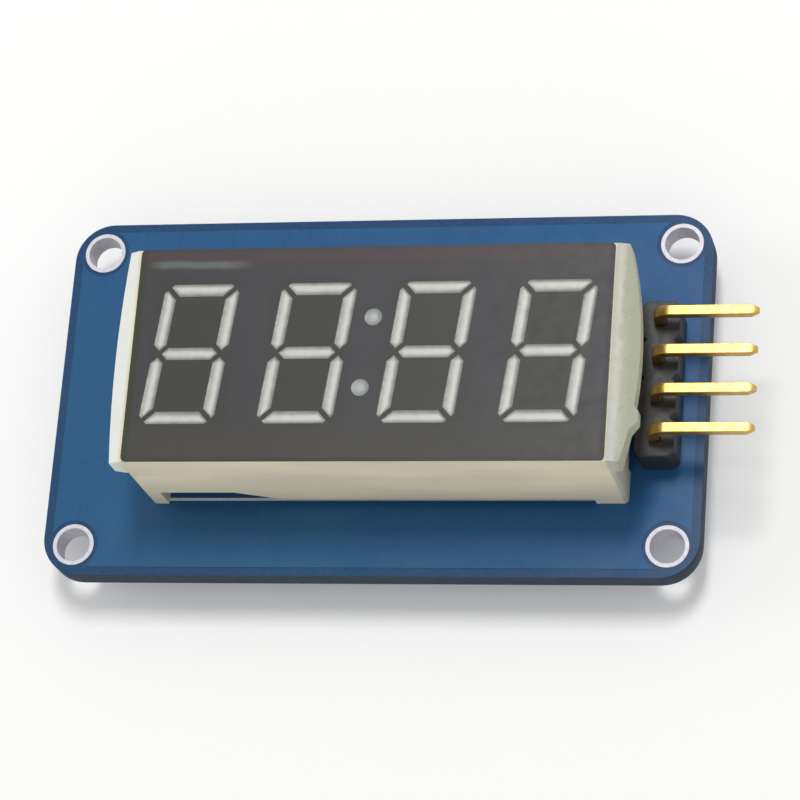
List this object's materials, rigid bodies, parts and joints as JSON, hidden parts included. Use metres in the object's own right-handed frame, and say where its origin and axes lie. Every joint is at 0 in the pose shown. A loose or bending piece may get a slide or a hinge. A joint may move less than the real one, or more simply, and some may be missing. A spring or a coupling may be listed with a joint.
{
  "type": "seven segment display module",
  "caption": "Clock-style seven segment LED display with a colon on a blue circuit board with corner mounting holes, a driver chip behind and a bent pin header at one side.",
  "frame": {"origin": "centre of the four mounting holes, on the circuit board's back face", "axes": "+Z out of the display's face, +X along the board towards the header, +Y towards the digits' tops"},
  "size_m": [0.0456, 0.024, 0.0121],
  "materials": {
    "board_mask": "blue solder mask, satin gloss",
    "tinned_copper": "tinned copper lands and rings",
    "white_shell": "moulded warm white plastic",
    "dark_film": "dark grey face film, satin",
    "colon_epoxy": "cast milky epoxy, dimmer than the digits",
    "led_die": "semiconductor die",
    "inner_board": "bare laminate",
    "clear_epoxy": "cast milky epoxy",
    "white_epoxy": "cast white diffusing epoxy",
    "tinned_steel": "tinned lead",
    "solder": "bright solder",
    "black_plastic": "black moulded header plastic",
    "gold_pin": "thin gold plating",
    "chip_mould": "black moulding compound, fine matt texture",
    "cap_ceramic": "tan ceramic",
    "tinned_end": "tinned end",
    "white_ceramic": "white alumina",
    "black_coat": "black glass overcoat"
  },
  "bodies": {
    "root": {"circuit_board": "board_mask", "mounting_hole_rings": "tinned_copper", "display_plated_holes": "tinned_copper", "header_plated_holes": "tinned_copper", "chip_lands": "tinned_copper", "part_lands": "tinned_copper", "display_housing": "white_shell", "face_film": "dark_film", "colon_dots": "colon_epoxy", "led_dies": "led_die", "led_board": "inner_board", "back_potting": "clear_epoxy", "digit_1_segments": "white_epoxy", "digit_2_segments": "white_epoxy", "digit_3_segments": "white_epoxy", "digit_4_segments": "white_epoxy", "display_lead_1": "tinned_steel", "display_lead_2": "tinned_steel", "display_lead_3": "tinned_steel", "display_lead_4": "tinned_steel", "display_lead_5": "tinned_steel", "display_lead_6": "tinned_steel", "display_lead_7": "tinned_steel", "display_lead_8": "tinned_steel", "display_lead_9": "tinned_steel", "display_lead_10": "tinned_steel", "display_lead_11": "tinned_steel", "display_lead_12": "tinned_steel", "chip_legs": "tinned_steel", "display_joints": "solder", "header_joints": "solder", "chip_joints": "solder", "part_joints": "solder", "header_insulator": "black_plastic", "header_pin_1": "gold_pin", "header_pin_2": "gold_pin", "header_pin_3": "gold_pin", "header_pin_4": "gold_pin", "chip_body": "chip_mould", "capacitor_1": "cap_ceramic", "capacitor_2": "cap_ceramic", "capacitor_3": "cap_ceramic", "capacitor_4": "cap_ceramic", "capacitor_1_ends": "tinned_end", "capacitor_2_ends": "tinned_end", "capacitor_3_ends": "tinned_end", "capacitor_4_ends": "tinned_end", "resistor_1_ends": "tinned_end", "resistor_2_ends": "tinned_end", "resistor_1": "white_ceramic", "resistor_2": "white_ceramic", "resistor_1_coat": "black_coat", "resistor_2_coat": "black_coat"}
  },
  "joints": []
}
